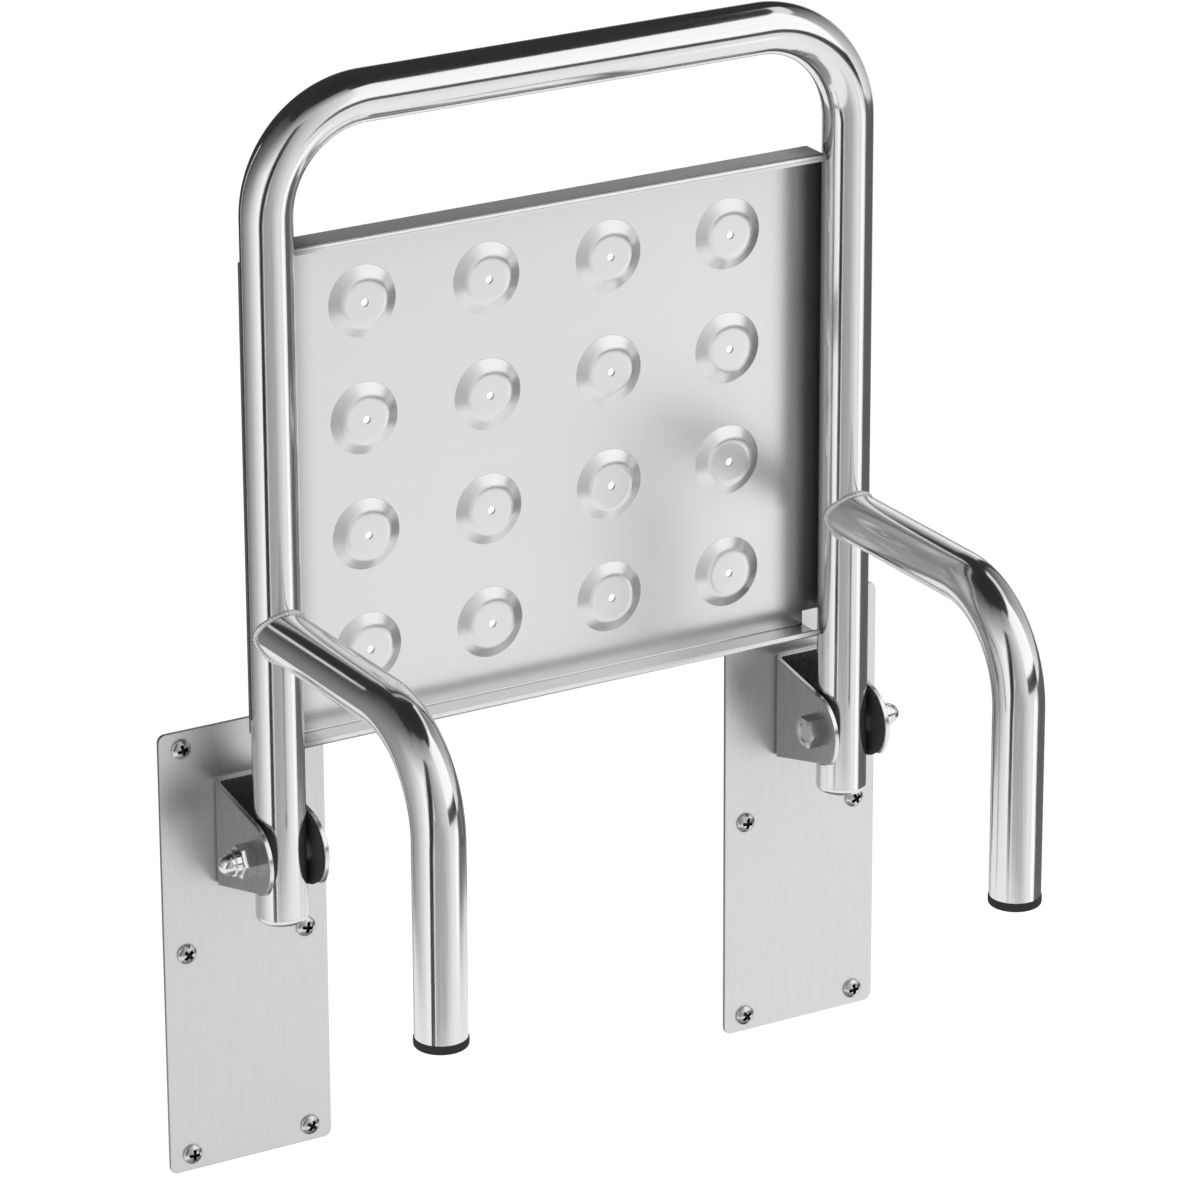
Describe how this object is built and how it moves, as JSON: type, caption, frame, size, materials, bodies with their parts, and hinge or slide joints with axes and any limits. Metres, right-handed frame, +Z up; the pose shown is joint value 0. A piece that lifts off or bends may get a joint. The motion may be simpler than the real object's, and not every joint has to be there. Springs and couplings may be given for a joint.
{
  "type": "fold down wall seat",
  "caption": "Folding wall seat: a bent tube frame with a dimpled steel tray and bent side arms on rubber feet, hinged in clevis brackets on screwed wall plates.",
  "frame": {"origin": "on the wall, halfway between the wall plates and at their middle height", "axes": "+X along the wall to the right as seen from the room, +Y into the wall, +Z up"},
  "size_m": [0.512, 0.2855, 0.703],
  "materials": {
    "plate_steel": "stainless steel sheet with a fine vertical grain",
    "screw_steel": "bright stainless steel",
    "bracket_steel": "satin stainless steel with bright cut edges",
    "bolt_steel": "forged stainless steel",
    "nut_steel": "bright turned stainless steel",
    "nylon": "black nylon",
    "bush_steel": "turned stainless steel",
    "tube_steel": "satin stainless steel tube, brushed along its length",
    "weld_steel": "cleaned weld bead",
    "foot_rubber": "black rubber",
    "tray_steel": "bright satin stainless steel sheet"
  },
  "bodies": {
    "wall_mount": {"left_wall_plate": "plate_steel", "right_wall_plate": "plate_steel", "left_plate_screws": "screw_steel", "right_plate_screws": "screw_steel", "left_hinge_bracket": "bracket_steel", "right_hinge_bracket": "bracket_steel", "left_pivot_bolt": "bolt_steel", "right_pivot_bolt": "bolt_steel", "left_dome_nut": "nut_steel", "right_dome_nut": "nut_steel", "left_nut_insert": "nylon", "right_nut_insert": "nylon", "left_nylon_washers": "nylon", "right_nylon_washers": "nylon"},
    "seat": {"seat_frame_tube": "tube_steel", "seat_tray": "tray_steel", "left_pivot_bush": "bush_steel", "right_pivot_bush": "bush_steel", "left_frame_end_cap": "tube_steel", "right_frame_end_cap": "tube_steel", "left_support_arm": "tube_steel", "right_support_arm": "tube_steel", "left_arm_weld": "weld_steel", "right_arm_weld": "weld_steel", "left_foot_cap": "foot_rubber", "right_foot_cap": "foot_rubber", "left_tray_welds": "weld_steel", "right_tray_welds": "weld_steel"}
  },
  "joints": [
    {"name": "seat_fold", "type": "hinge", "parent": "wall_mount", "child": "seat", "pos_m": [0, -0.051, 0.076], "axis": [1, 0, 0], "range_deg": [-4, 90]}
  ]
}
